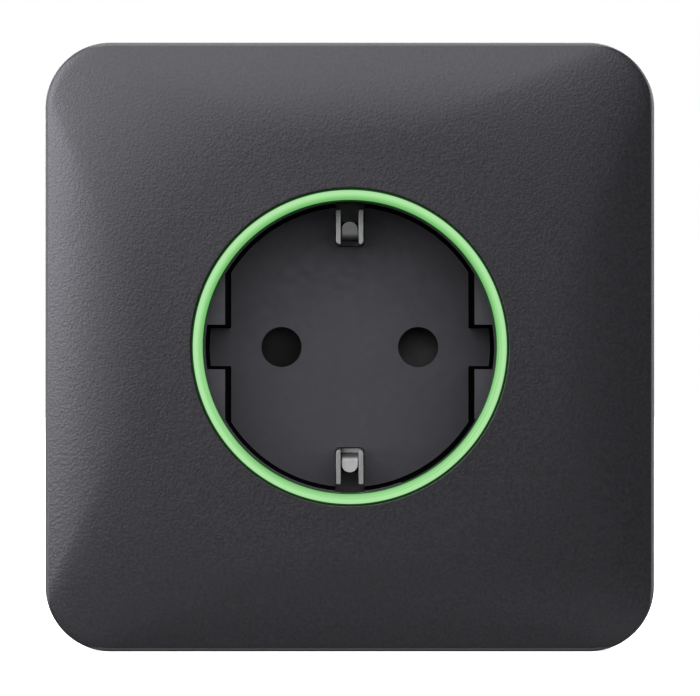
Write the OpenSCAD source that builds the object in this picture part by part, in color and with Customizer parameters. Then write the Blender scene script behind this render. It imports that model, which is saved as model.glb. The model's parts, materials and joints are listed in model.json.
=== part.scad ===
// Flush-mounted earthed wall socket with a switched outlet, a glowing status ring and shuttered pin holes.
// Millimetres. The wall is the plane Y = 0, the room is towards -Y, and up is +Z.
// Sub-parts are drawn face up, with x to the right, y up the wall and z out of the wall. to_wall() stands them up.

/* [Cover plate] */
// Width of the cover plate
plate_w = 82; // [76:1:110]
// Height of the cover plate
plate_h = 82; // [76:1:110]
// Radius of the plate's corners
plate_corner_r = 8.8; // [6:0.1:12]
// How far the middle of the plate stands out from the wall
plate_depth = 9.5; // [7.9:0.1:14]
// Thickness of the plate's face and sides
plate_wall = 2; // [1.5:0.1:2.5]
// How far the face falls from its flat middle to the edges
edge_drop = 1.3; // [0.6:0.1:1.6]
// Radius along the plate's outer edge
edge_r = 0.6; // [0.3:0.1:1]

/* [Light ring] */
// Width of the ring's flat glowing face
ring_face_w = 0.95; // [0.7:0.05:1.5]
// Width of the slope inside the glowing face
ring_slope_w = 0.5; // [0.3:0.05:0.8]
// How far the ring stands out from the plate
ring_proud = 0.3; // [0:0.1:0.8]
// Gap between the ring and the plate
ring_gap = 0.25; // [0.15:0.05:0.4]
// Thickness of the ring's collar behind the plate
collar_t = 1.4; // [1:0.1:1.8]
// Thickness of the skirt that leads light from the lamps to the ring
skirt_t = 1.2; // [1:0.1:1.6]
// Number of lamps under the ring
lamp_count = 12; // [8:4:16]

/* [Plug recess] */
// Radius of the round plug recess
recess_r = 19.5; // [18.5:0.1:23.5]
// Depth of the recess floor behind the front of the plate
recess_depth = 17.5; // [14.5:0.1:21]
// Wall of the recess tube
recess_wall = 1.5; // [1.2:0.1:2]
// Thickness of the recess floor
floor_t = 2; // [1.5:0.1:3]
// Distance between the two flats, at the floor
flat_gap = 33; // [30:0.5:35]
// Width of the notch in each flat, at the floor
notch_w = 5.3; // [4:0.1:6.5]
// How far the flats and notches open out from floor to front
draft = 0.35; // [0.1:0.05:0.6]

/* [Pins] */
// Distance between the two pin holes
pin_spacing = 19; // [17:0.1:23]
// Radius of a pin hole
pin_hole_r = 2.775; // [2.6:0.025:3.4]
// Radius of the plug's pins
pin_r = 2.4; // [2:0.1:2.5]
// Length of the plug's pins
pin_length = 19; // [16:0.5:23]

/* [Earth contacts] */
// Outside width of an earth clip
clip_w = 3.8; // [3.4:0.1:5]
// Thickness of the strap and its clips
strap_t = 0.7; // [0.6:0.1:1]
// Distance from the socket's axis to a clip's inner end
clip_inner_r = 14.05; // [13.5:0.05:14.5]
// Length of a clip, outwards from the axis
clip_length = 4.7; // [4:0.1:5]
// Height of a clip's cheeks above the recess floor
clip_height = 9; // [7:0.1:11]
// Thickness of an earth tongue
tongue_t = 0.5; // [0.4:0.05:0.6]
// Outside radius of the bend near a tongue's front
tongue_bend_r = 0.8; // [0.6:0.1:1]
// How far a tongue's front leads outwards from its upright
tongue_reach = 2.3; // [1.8:0.1:2.6]
// Slope of a tongue's front, which guides the plug in
tongue_slope = 8; // [5:1:25]

/* [Support frame] */
// Width of the cover plate's margin around the frame
frame_margin = 5; // [4.6:0.1:7]
// Thickness of the frame
frame_t = 1.2; // [1:0.1:1.5]
// Distance between the wall-box screws
box_screw_spacing = 60; // [58:0.5:61]
// Radius of a wall-box screw slot
slot_r = 2.1; // [1.8:0.1:2.3]
// Length of a wall-box screw slot
slot_length = 7; // [5:0.5:7.5]

/* [Module] */
// Room between the recess tube and the housing wall
side_room = 2.4; // [2.4:0.1:4]
// Wall of the housing and the rear cap
module_wall = 1.6; // [1.2:0.1:2]
// Radius of the housing's corners
module_corner_r = 14; // [10:0.5:14]
// Radius of the screw posts
post_r = 2.6; // [2.4:0.1:2.8]
// Room for parts between the power board and the rear cap
terminal_room = 9; // [9:0.5:12]
// Thickness of the circuit boards
board_t = 1.6; // [1:0.1:2]
// Thickness of the ring board
ring_board_t = 1; // [0.8:0.1:1.2]

/* [Shutter] */
// Radius of the blade behind each pin hole
blade_r = 3.3; // [3.1:0.1:3.5]
// Thickness of the shutter
shutter_t = 2.4; // [2:0.1:2.6]
// Radius of the post that the shutter turns on
pivot_r = 1.5; // [1.2:0.1:1.8]

/* [Terminals] */
// Distance between neighbouring terminals
terminal_pitch = 11.5; // [11.5:0.1:12.5]
// Radius of a wire entry
wire_r = 2.1; // [1.8:0.05:2.2]
// How far a release button stands out of the rear cap
button_proud = 0.8; // [0.4:0.1:1.5]

/* [Hidden] */
$fn = 72;
eps = 0.01;
// Clearances: parts that seat, parts that pass through, pins that turn
seat_gap = 0.1;
pass_gap = 0.2;
turn_gap = 0.05;

// Cover plate: the face is flat in the middle and rolls off over the corner radius
roll_r = (pow(plate_corner_r, 2) + pow(edge_drop, 2)) / (2 * edge_drop);
edge_x = plate_corner_r - edge_r;
edge_z = plate_depth - roll_r + sqrt(pow(roll_r - edge_r, 2) - pow(edge_x, 2));
roll_x = edge_x * roll_r / (roll_r - edge_r);
plate_in_z = plate_depth - plate_wall;

// Support frame and what lies on it, counted outwards from the wall
frame_w = plate_w - 2 * frame_margin;
frame_h = plate_h - 2 * frame_margin;
frame_corner_r = 5;
flange_t = 1.2;
ring_board_z = frame_t + flange_t;
ring_board_top = ring_board_z + ring_board_t;
lamp_h = 0.6;
skirt_z = ring_board_top + lamp_h + pass_gap;
collar_top = plate_in_z - seat_gap;
collar_z = collar_top - collar_t;
rim_z = collar_z - seat_gap;

// Light ring radii
tube_r = recess_r + recess_wall;
ring_in_r = recess_r + 0.15;
ring_out_r = ring_in_r + ring_slope_w + ring_face_w;
ring_top = plate_depth + ring_proud;
skirt_in_r = tube_r + pass_gap;
skirt_out_r = skirt_in_r + skirt_t;
collar_r = skirt_out_r + 0.5;
lamp_r = (skirt_in_r + skirt_out_r) / 2;

// Depths behind the wall, counted inwards
floor_z = plate_depth - recess_depth;
floor_back = floor_z - floor_t;
strap_back = floor_back - strap_t;
shutter_z = strap_back - pass_gap;
shutter_back = shutter_z - shutter_t;
deck_z = shutter_back - 1;
deck_t = 1.6;
deck_back = deck_z - deck_t;
carrier_back = floor_z - pin_length - 1.4;
board_z = carrier_back - 1;
board_back = board_z - board_t;
cap_in = board_back - terminal_room;
cap_back = cap_in - 2;

// Housing section
module_in = 2 * (tube_r + side_room);
module_w = module_in + 2 * module_wall;
module_in_corner_r = module_corner_r - module_wall;
screw_r = 1.2;
screw_hole_r = 1.4;
thread_r = 1.25;
head_r = 2.2;
head_t = 1.2;
post_xy = (skirt_out_r + head_r + 0.85) / sqrt(2);

// Shutter and contacts
pin_x = pin_spacing / 2;
shutter_hole_r = pivot_r + turn_gap;
groove_in_r = 2.2;
groove_out_r = 3.9;
groove_depth = 1.3;
chamber_x = 5.8;
chamber_y = 4.6;
chamber_wall = 1.2;
box_x = pin_x + chamber_x + chamber_wall;
box_y = chamber_y + chamber_wall;
carrier_r = tube_r - 0.4;
carrier_screw_r = 1;
carrier_head_r = 1.65;
carrier_screw_y = box_y + carrier_head_r + seat_gap;
carrier_screw_x = (flat_gap / 2 + sqrt(pow(tube_r, 2) - pow(carrier_screw_y, 2))) / 2;

// Earth strap
clip_bend_r = 0.5;
slot_half = clip_w / 2 + 0.09;
cheek_in = clip_w / 2 - strap_t;
cheek_top = floor_z + clip_height;
strap_in_r = clip_inner_r + 1;
strap_out_r = strap_in_r + 2.05;
pocket_r = tube_r - 0.65;
tail_angle = 230;
tail_w = 3;
tongue_y = clip_inner_r + strap_t + seat_gap;
tongue_half = cheek_in - 0.08;
foot_z = strap_back - seat_gap;
foot_y = tongue_y + 1.65;

// Terminals
cell_x = 4.6;
block_x = terminal_pitch + cell_x + 0.8;
block_z = board_back - pass_gap;
block_back = cap_in + pass_gap;
bar_y = -7.4;
bar_t = 1;
lever_y = 5.5;
lever_z = block_z - 2;
lever_pin_r = 0.5;
lever_t = 0.5;
lever_reach = 11.1;
lever_rise = 3.5;
wire_y = -3.5;
wire_x = 2.45;
button_y = 1.8;
button_w = 5;
button_h = 3.2;

// Rows of parts on the power board: above the contact box, and below it and the clamps' feet
upper_y = box_y;
lower_y = bar_y - pass_gap;

// Link between the ring board and the power board
link_y = -(tube_r + 1.2);
link_w = 9;
link_t = 1.7;
link_pins = 4;
link_pitch = 2;
link_pin_t = 0.5;

// Ring board
ring_board_w = 2 * (skirt_out_r + 3.6);
ring_board_h = 2 * (skirt_out_r + 7.6);
radio_w = 14;
radio_h = 6.2;
radio_t = 0.8;
radio_y = ring_board_h / 2 - 0.4 - radio_h / 2;

module to_wall() {
    rotate([90, 0, 0])
        children();
}

// Rounded rectangle with true arcs at its corners
module rounded_rect(w, h, r) {
    square([w, h - 2 * r], center = true);
    square([w - 2 * r, h], center = true);
    for (x = [-1, 1])
        for (y = [-1, 1])
            translate([x * (w / 2 - r), y * (h / 2 - r)])
                circle(r);
}

// Rounded block between two levels
module rounded_block(w, h, r, low, high) {
    translate([0, 0, low])
        linear_extrude(high - low)
            rounded_rect(w, h, r);
}

// Round bar between two levels
module rod(r, low, high) {
    translate([0, 0, low])
        cylinder(r = r, h = high - low);
}

// Straight block between two corners
module block(low, high) {
    translate(low)
        cube(high - low);
}

// Tube between two levels
module tube(in_r, out_r, low, high) {
    difference() {
        rod(out_r, low, high);
        rod(in_r, low - 1, high + 1);
    }
}

// Copies at the four screw posts
module at_posts() {
    for (x = [-1, 1])
        for (y = [-1, 1])
            translate([x * post_xy, y * post_xy, 0])
                children();
}

// Copies at the four carrier screws
module at_carrier_screws() {
    for (x = [-1, 1])
        for (y = [-1, 1])
            translate([x * carrier_screw_x, y * carrier_screw_y, 0])
                children();
}

// Four copies, one on each side of the frame, with x pointing outwards from the frame's edge
module at_frame_sides() {
    for (side = [0:3])
        rotate(90 * side)
            translate([(side % 2 == 0 ? frame_w : frame_h) / 2, 0, 0])
                children();
}

// Opening for the link between the boards
module link_opening(low, high) {
    block([-link_w / 2 - 0.5, link_y - link_t / 2 - pass_gap, low],
        [link_w / 2 + 0.5, link_y + link_t / 2 + pass_gap, high]);
}

// Section of the plate's outer edge: x runs outwards from the corner's centre and y is the height off the wall
module edge_section() {
    intersection() {
        translate([0, plate_depth - roll_r])
            circle(roll_r, $fn = 180);
        square([roll_x, plate_depth + 1]);
    }
    translate([edge_x, edge_z])
        circle(edge_r);
    square([plate_corner_r, edge_z]);
}

// Solid outer shape of the cover plate
module plate_shape() {
    mid_x = plate_w / 2 - plate_corner_r;
    mid_y = plate_h / 2 - plate_corner_r;
    block([-mid_x, -mid_y, 0], [mid_x, mid_y, plate_depth]);
    for (flip_x = [0, 1])
        mirror([flip_x, 0, 0]) {
            for (flip_y = [0, 1])
                mirror([0, flip_y, 0])
                    translate([mid_x, mid_y, 0])
                        rotate_extrude(angle = 90)
                            edge_section();
            translate([mid_x, mid_y, 0])
                rotate([90, 0, 0])
                    linear_extrude(2 * mid_y)
                        edge_section();
        }
    for (flip_y = [0, 1])
        mirror([0, flip_y, 0])
            translate([-mid_x, mid_y, 0])
                rotate([90, 0, 90])
                    linear_extrude(2 * mid_x)
                        edge_section();
}

// Snap leg that reaches past the frame's edge and hooks into its tab
module plate_leg() {
    leg_in = 0.3;
    leg_t = 1.6;
    hook = 0.9;
    block([leg_in, -4, frame_t + 0.8], [leg_in + leg_t, 4, plate_in_z + seat_gap]);
    translate([0, 3.8, 0])
        rotate([90, 0, 0])
            linear_extrude(7.6)
                polygon([[leg_in, frame_t + 0.9], [leg_in + eps, frame_t + 2.5], [leg_in - hook, frame_t + 2.5],
                    [leg_in - hook, frame_t + 2.1]]);
}

module cover_plate() {
    color([0.27, 0.27, 0.29])
        to_wall() {
            difference() {
                plate_shape();
                rounded_block(plate_w - 2 * plate_wall, plate_h - 2 * plate_wall, plate_corner_r - plate_wall,
                    -1, plate_in_z);
                rod(ring_out_r + ring_gap, 0, plate_depth + 1);
            }
            at_frame_sides()
                plate_leg();
        }
}

module light_ring() {
    slope_drop = 0.5;
    color([0.62, 0.95, 0.6])
        to_wall()
            rotate_extrude()
                polygon([[ring_in_r, collar_z], [ring_in_r, ring_top - slope_drop],
                    [ring_in_r + ring_slope_w, ring_top], [ring_out_r, ring_top], [ring_out_r, collar_top],
                    [collar_r, collar_top], [collar_r, collar_z], [skirt_out_r, collar_z], [skirt_out_r, skirt_z],
                    [skirt_in_r, skirt_z], [skirt_in_r, collar_z]]);
}

// The two ledges beside the flats, each with a notch across its middle
module ledges() {
    outer = recess_r + recess_wall / 2;
    intersection() {
        rod(outer, floor_z - floor_t / 2, rim_z);
        for (side = [0, 1])
            mirror([side, 0, 0])
                translate([0, recess_r, 0])
                    rotate([90, 0, 0])
                        linear_extrude(2 * recess_r)
                            polygon([[flat_gap / 2, floor_z - floor_t], [flat_gap / 2, floor_z],
                                [flat_gap / 2 + draft, rim_z], [outer, rim_z], [outer, floor_z - floor_t]]);
    }
}

// Tapered cut that makes the notches
module notch_cut() {
    translate([-recess_r, 0, 0])
        rotate([90, 0, 90])
            linear_extrude(2 * recess_r)
                polygon([[-notch_w / 2, floor_z], [notch_w / 2, floor_z], [notch_w / 2 + draft, rim_z + eps],
                    [-notch_w / 2 - draft, rim_z + eps]]);
}

// Slot through the floor, with rounded inner corners, and the pocket in the tube wall above it
module clip_slot() {
    corner_r = clip_bend_r + 0.09;
    inner = clip_inner_r - 0.09;
    translate([0, 0, floor_back - 1])
        linear_extrude(rim_z - floor_back + 2) {
            translate([-slot_half, inner + corner_r])
                square([2 * slot_half, pocket_r - inner - corner_r]);
            translate([corner_r - slot_half, inner])
                square([2 * (slot_half - corner_r), corner_r + 1]);
            for (x = [-1, 1])
                translate([x * (slot_half - corner_r), inner + corner_r])
                    circle(corner_r);
        }
}

module socket_well() {
    flange_w = 2 * (tube_r + 4);
    color([0.24, 0.24, 0.26])
        to_wall()
            difference() {
                union() {
                    tube(recess_r, tube_r, floor_back, rim_z);
                    rod(recess_r + recess_wall / 2, floor_back, floor_z);
                    difference() {
                        ledges();
                        notch_cut();
                    }
                    difference() {
                        rounded_block(flange_w, flange_w, frame_corner_r, frame_t, ring_board_z);
                        rod(recess_r + recess_wall / 2, 0, rim_z);
                    }
                }
                for (x = [-1, 1])
                    translate([x * pin_x, 0, 0])
                        rod(pin_hole_r, floor_back - 1, floor_z + 1);
                for (turn = [0, 180])
                    rotate(turn)
                        clip_slot();
                at_posts()
                    rod(screw_hole_r, 0, rim_z);
                link_opening(0, rim_z);
                at_carrier_screws()
                    rod(carrier_screw_r + turn_gap, floor_back - 1, floor_z + 6.5);
            }
}

module ring_board() {
    color([0.1, 0.3, 0.18])
        to_wall()
            difference() {
                rounded_block(ring_board_w, ring_board_h, 4, ring_board_z, ring_board_top);
                rod(tube_r + seat_gap, 0, rim_z);
                at_posts()
                    rod(screw_hole_r, 0, rim_z);
                link_holes(0, rim_z);
            }
}

module ring_lamps() {
    body_r = 1;
    body_t = 1.6;
    color([0.9, 0.9, 0.8])
        to_wall()
            for (lamp = [0:lamp_count - 1])
                rotate(360 * (lamp + 0.5) / lamp_count)
                    difference() {
                        block([lamp_r - body_r / 2, -body_t / 2, ring_board_top],
                            [lamp_r + body_r / 2, body_t / 2, ring_board_top + lamp_h]);
                        translate([lamp_r, 0, 0])
                            rod(0.35, ring_board_top + lamp_h - 0.15, rim_z);
                    }
}

module radio_module() {
    color([0.08, 0.22, 0.3])
        to_wall()
            difference() {
                block([-radio_w / 2, radio_y - radio_h / 2, ring_board_top],
                    [radio_w / 2, radio_y + radio_h / 2, ring_board_top + radio_t]);
                for (pad = [-4:4])
                    translate([1.4 * pad, radio_y - radio_h / 2, 0])
                        rod(0.35, 0, rim_z);
            }
}

module radio_shield() {
    shield_w = 9.6;
    shield_h = 4.4;
    shield_t = 1.4;
    wall = 0.2;
    low = ring_board_top + radio_t;
    color([0.75, 0.76, 0.78])
        to_wall()
            translate([0.8, radio_y + 0.5, 0])
                difference() {
                    rounded_block(shield_w, shield_h, 0.6, low, low + shield_t);
                    rounded_block(shield_w - 2 * wall, shield_h - 2 * wall, 0.4, low - 1, low + shield_t - wall);
                    for (hole = [-1:1])
                        translate([2.6 * hole, 0, 0])
                            rod(0.4, low, low + shield_t + 1);
                }
}

module antenna() {
    length = 9;
    high = ring_board_top + 2;
    color([0.85, 0.65, 0.35])
        to_wall()
            translate([-radio_w / 2 - length - 1, radio_y + 1, 0]) {
                block([0, 0, high - 0.4], [length, 1.2, high]);
                for (foot = [0, 2.2])
                    block([foot, 0, ring_board_top], [foot + 0.4, 1.2, high]);
                block([length - 0.4, 0, ring_board_top + 0.6], [length, 1.2, high]);
            }
}

// Places of the link's pins
module at_link_pins() {
    for (pin = [0:link_pins - 1])
        translate([link_pitch * (pin - (link_pins - 1) / 2), link_y, 0])
            children();
}

module link_holes(low, high) {
    at_link_pins()
        rod(link_pin_t, low, high);
}

module board_link() {
    body_t = 2;
    color([0.12, 0.12, 0.12])
        to_wall() {
            block([-link_w / 2, link_y - link_t / 2, ring_board_z - body_t],
                [link_w / 2, link_y + link_t / 2, ring_board_z]);
            block([-link_w / 2, link_y - link_t / 2, board_z], [link_w / 2, link_y + link_t / 2, board_z + body_t]);
            at_link_pins()
                block([-link_pin_t / 2, -link_pin_t / 2, board_back - 0.4],
                    [link_pin_t / 2, link_pin_t / 2, ring_board_top + 0.4]);
        }
}

module support_frame() {
    tab_half = 6;
    tab_h = 4;
    color([0.72, 0.73, 0.75])
        to_wall()
            difference() {
                union() {
                    rounded_block(frame_w, frame_h, frame_corner_r, 0, frame_t);
                    at_frame_sides()
                        block([-frame_t, -tab_half, 0], [0, tab_half, frame_t + tab_h]);
                }
                rod(tube_r + 0.5, -1, frame_t + 1);
                link_opening(-1, frame_t + 1);
                at_posts()
                    rod(screw_hole_r, -1, frame_t + 1);
                for (x = [-1, 1])
                    translate([x * box_screw_spacing / 2, 0, 0]) {
                        for (end = [-1, 1])
                            translate([end * (slot_length / 2 - slot_r), 0, 0])
                                rod(slot_r, -1, frame_t + 1);
                        block([slot_r - slot_length / 2, -slot_r, -1],
                            [slot_length / 2 - slot_r, slot_r, frame_t + 1]);
                    }
                at_frame_sides()
                    block([-frame_t - 1, -4.1, frame_t + 1.2], [1, 4.1, frame_t + 2.8]);
            }
}

// Pan-head screw: the head sits above z = 0 and the shank runs down from it
module screw(shank_r, length, cap_r, cap_t) {
    difference() {
        union() {
            rod(shank_r, -length, eps);
            rod(cap_r, 0, cap_t);
        }
        for (turn = [0, 90])
            rotate(turn)
                block([-cap_r * 0.6, -0.25, cap_t * 0.45], [cap_r * 0.6, 0.25, cap_t + 1]);
    }
}

module frame_screws() {
    color([0.78, 0.78, 0.8])
        to_wall()
            at_posts()
                translate([0, 0, ring_board_top])
                    screw(screw_r, ring_board_top + 9, head_r, head_t);
}

// Ribs that tie the four screw posts to the housing's rounded corners
module post_ribs(low, high) {
    rib_w = 1.6 * post_r;
    corner_mid = (module_in / 2 - module_in_corner_r) * sqrt(2) + module_in_corner_r + module_wall / 2;
    for (turn = [45:90:315])
        rotate(turn)
            block([post_xy * sqrt(2), -rib_w / 2, low], [corner_mid, rib_w / 2, high]);
}

module module_housing() {
    lap = 1.4;
    color([0.2, 0.2, 0.21])
        to_wall()
            difference() {
                union() {
                    difference() {
                        rounded_block(module_w, module_w, module_corner_r, board_back, 0);
                        rounded_block(module_in, module_in, module_in_corner_r, board_back - 1, 1);
                    }
                    at_posts()
                        rod(post_r, board_z, 0);
                    post_ribs(board_z + 1, -1);
                }
                difference() {
                    rounded_block(module_w + 1, module_w + 1, module_corner_r, board_back - 1, board_back + lap);
                    rounded_block(module_w - module_wall, module_w - module_wall, module_corner_r - module_wall / 2,
                        board_back - 2, board_back + lap + 1);
                }
                at_posts() {
                    rod(thread_r, -10, 1);
                    rod(thread_r, board_z - 1, board_z + 12);
                }
            }
}

module rear_cap() {
    lap = 1.3;
    color([0.2, 0.2, 0.21])
        to_wall()
            difference() {
                union() {
                    difference() {
                        rounded_block(module_w, module_w, module_corner_r, cap_back, board_back + lap);
                        rounded_block(module_in, module_in, module_in_corner_r, cap_in, board_back + lap + 1);
                        rounded_block(module_w - module_wall + 2 * seat_gap, module_w - module_wall + 2 * seat_gap,
                            module_corner_r - module_wall / 2 + seat_gap, board_back, board_back + lap + 1);
                    }
                    at_posts()
                        rod(post_r, cap_in - eps, board_back);
                }
                at_posts() {
                    rod(screw_hole_r, cap_back - 1, board_back + 1);
                    rod(head_r + pass_gap, cap_back - 1, cap_back + head_t + 0.4);
                }
                at_terminals() {
                    for (x = [-1, 1])
                        translate([x * wire_x, wire_y, 0])
                            rod(wire_r, cap_back - 1, cap_in + 1);
                    block([-button_w / 2 - seat_gap, button_y - button_h / 2 - seat_gap, cap_back - 1],
                        [button_w / 2 + seat_gap, button_y + button_h / 2 + seat_gap, cap_in + 1]);
                }
            }
}

module housing_screws() {
    color([0.78, 0.78, 0.8])
        to_wall()
            at_posts()
                translate([0, 0, cap_back + head_t + 0.4])
                    mirror([0, 0, 1])
                        screw(screw_r, board_z + 11 - cap_back - head_t - 0.4, head_r, head_t);
}

// Blade-shaped tail of the earth strap, or with a gap the slot that it passes through
module earth_tail(gap, low, high) {
    rotate(tail_angle)
        block([(strap_in_r + strap_out_r - strap_t) / 2 - gap, -tail_w / 2 - gap, low],
            [(strap_in_r + strap_out_r + strap_t) / 2 + gap, tail_w / 2 + gap, high]);
}

module contact_carrier() {
    pillar_r = 1.9;
    rim_in_r = carrier_r - 1.4;
    deck_mid = deck_z - deck_t / 2;
    color([0.17, 0.17, 0.17])
        to_wall()
            difference() {
                union() {
                    tube(rim_in_r, carrier_r, deck_mid, floor_back);
                    rod(carrier_r, deck_back, deck_z);
                    at_carrier_screws()
                        rod(pillar_r, deck_mid, floor_back);
                    intersection() {
                        rod(carrier_r, deck_mid, floor_back);
                        for (turn = [0, 180])
                            rotate(turn)
                                block([-3, strap_out_r + 0.3, deck_mid], [3, carrier_r, floor_back]);
                    }
                    block([-box_x, -box_y, carrier_back], [box_x, box_y, deck_back]);
                    rod(pivot_r, deck_mid, shutter_z + 0.6);
                    for (turn = [0, 180])
                        rotate(turn)
                            at_stops()
                                rod(0.6, deck_mid, shutter_back + 1.4);
                }
                for (x = [-1, 1])
                    translate([x * pin_x, 0, 0]) {
                        block([-chamber_x, -chamber_y, carrier_back - 1], [chamber_x, chamber_y, deck_back]);
                        rod(pin_hole_r + 0.125, deck_back - 1, deck_z + 1);
                    }
                at_carrier_screws()
                    rod(carrier_screw_r + pass_gap, deck_back - 1, floor_back + 1);
                earth_tail(pass_gap, deck_back - 1, floor_back + 1);
            }
}

// Stops on the deck that the shutter's arms meet when it is shut and when it is fully open
module at_stops() {
    for (stop = [29.5, -70.5])
        rotate(stop)
            translate([6.5, 0, 0])
                children();
}

module carrier_screws() {
    color([0.78, 0.78, 0.8])
        to_wall()
            at_carrier_screws()
                translate([0, 0, deck_back])
                    mirror([0, 0, 1])
                        screw(carrier_screw_r, floor_z + 5.5 - deck_back, carrier_head_r, head_t);
}

module shutter() {
    arm_w = 5;
    hub_r = 4.4;
    ramp = 16;
    color([0.16, 0.16, 0.17])
        to_wall()
            difference() {
                union() {
                    rod(hub_r, shutter_back, shutter_z);
                    block([-pin_x, -arm_w / 2, shutter_back], [pin_x, arm_w / 2, shutter_z]);
                    for (x = [-1, 1])
                        translate([x * pin_x, 0, 0])
                            rod(blade_r, shutter_back, shutter_z);
                }
                rod(shutter_hole_r, shutter_back - 1, shutter_z + 1);
                tube(groove_in_r, groove_out_r, shutter_back - 1, shutter_back + groove_depth);
                for (turn = [0, 180])
                    rotate(turn)
                        translate([hub_r + 0.8, -blade_r, shutter_z])
                            rotate([-ramp, 0, 0])
                                block([0, 0, 0], [pin_x, 3 * blade_r, 3]);
            }
}

// Wire of round section swept along points, as one closed surface
module wire(points, r) {
    sides = 8;
    last = len(points) - 1;
    rings = [for (i = [0:last])
        let (ahead = points[min(i + 1, last)] - points[max(i - 1, 0)],
            along = ahead / norm(ahead),
            side = cross([0, 0, 1], along) / norm(cross([0, 0, 1], along)),
            up = cross(along, side))
        for (s = [0:sides - 1])
            points[i] + r * (cos(360 * s / sides) * side + sin(360 * s / sides) * up)];
    walls = [for (i = [0:last - 1])
        for (s = [0:sides - 1])
            [i * sides + s, i * sides + (s + 1) % sides, (i + 1) * sides + (s + 1) % sides, (i + 1) * sides + s]];
    ends = [[for (s = [sides - 1:-1:0]) s], [for (s = [0:sides - 1]) last * sides + s]];
    polyhedron(rings, concat(walls, ends));
}

module shutter_spring() {
    coil_r = (groove_in_r + groove_out_r) / 2;
    wire_half = 0.2;
    turns = 2.5;
    coil_low = shutter_back - 0.5;
    coil_high = shutter_back + groove_depth - 0.4;
    coil = [for (a = [0:15:360 * turns])
        [coil_r * cos(a), coil_r * sin(a), coil_low + (coil_high - coil_low) * a / (360 * turns)]];
    leg = [for (i = [4:-1:1]) [coil_r, -1.2 * i, coil_low]];
    color([0.75, 0.75, 0.77])
        to_wall()
            wire(concat(leg, coil), wire_half);
}

// Split sleeve that grips a pin, its foot in the carrier, and its blade through the power board
module pin_contact(side) {
    sleeve_t = 0.6;
    sleeve_top = deck_back - 1.2;
    sleeve_low = carrier_back + 1.4;
    slit = 1;
    color([0.86, 0.72, 0.42])
        to_wall()
            translate([side * pin_x, 0, 0]) {
                difference() {
                    union() {
                        rod(pin_r + sleeve_t, sleeve_low, sleeve_top);
                        translate([0, 0, sleeve_top - 1])
                            cylinder(r1 = pin_r + sleeve_t, r2 = pin_r + sleeve_t + 0.9, h = 1);
                    }
                    rod(pin_r, sleeve_low - 1, sleeve_top + 1);
                    translate([0, 0, sleeve_top - 1])
                        cylinder(r1 = pin_r, r2 = pin_r + 0.95, h = 1 + eps);
                    block([-5, -slit / 2, sleeve_low + 1.5], [5, slit / 2, sleeve_top + 1]);
                }
                block([seat_gap - chamber_x, seat_gap - chamber_y, sleeve_low - 0.8],
                    [chamber_x - seat_gap, chamber_y - seat_gap, sleeve_low]);
                contact_tail(0, board_back - 0.15, sleeve_low - 0.8);
            }
}

// Tail of a pin contact, or with a gap the slot that it passes through
module contact_tail(gap, low, high) {
    block([-1.5 - gap, -3.4 - gap, low], [1.5 + gap, -2.6 + gap, high]);
}

module live_contact() {
    pin_contact(-1);
}

module neutral_contact() {
    pin_contact(1);
}

// Clip outline seen from the front, with rounded bends at its inner end
module clip_outline() {
    straight = clip_inner_r + clip_bend_r;
    translate([-clip_w / 2, straight])
        square([clip_w, clip_length - clip_bend_r]);
    translate([clip_bend_r - clip_w / 2, clip_inner_r])
        square([clip_w - 2 * clip_bend_r, clip_bend_r + eps]);
    for (x = [-1, 1])
        translate([x * (clip_w / 2 - clip_bend_r), straight])
            circle(clip_bend_r);
}

// Bent-up clip: two tall cheeks joined at the inner end by a web that stays inside the recess floor
module earth_clip() {
    web_top = floor_back + 0.8;
    difference() {
        translate([0, 0, strap_back])
            linear_extrude(cheek_top - strap_back)
                clip_outline();
        block([-cheek_in, clip_inner_r + strap_t, strap_back - 1], [cheek_in, clip_inner_r + 9, cheek_top + 1]);
        block([-cheek_in, clip_inner_r - 1, web_top], [cheek_in, clip_inner_r + 2, cheek_top + 1]);
        block([-clip_w, strap_out_r, strap_back - 1], [clip_w, clip_inner_r + 9, floor_back]);
    }
}

module earth_strap() {
    color([0.76, 0.76, 0.77])
        to_wall() {
            difference() {
                tube(strap_in_r, strap_out_r, strap_back, floor_back);
                for (turn = [0, 180])
                    rotate(turn)
                        block([-cheek_in, clip_inner_r, strap_back - 1], [cheek_in, strap_out_r + 1, floor_back + 1]);
            }
            for (turn = [0, 180])
                rotate(turn)
                    earth_clip();
            earth_tail(0, board_back - 1, strap_back + eps);
        }
}

// Upright of the tongue, its bend and its sloping front, seen from the side: x is the distance from the axis
module tongue_section() {
    top = cheek_top - 0.2;
    bend_x = tongue_y + tongue_bend_r;
    slope_run = tongue_reach - tongue_bend_r + tongue_bend_r * sin(tongue_slope);
    bend_z = top - tongue_bend_r * cos(tongue_slope) - slope_run * tan(tongue_slope);
    far = 2 * tongue_bend_r;
    translate([bend_x, bend_z]) {
        intersection() {
            difference() {
                circle(tongue_bend_r);
                circle(tongue_bend_r - tongue_t);
            }
            polygon([[0, 0], [-far, 0], [-far, far], [-far * tan(tongue_slope), far]]);
        }
        rotate(tongue_slope)
            translate([-eps, tongue_bend_r - tongue_t])
                square([slope_run / cos(tongue_slope) + eps, tongue_t]);
    }
    translate([tongue_y, foot_z - tongue_t])
        square([tongue_t, bend_z + eps - foot_z + tongue_t]);
}

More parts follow.
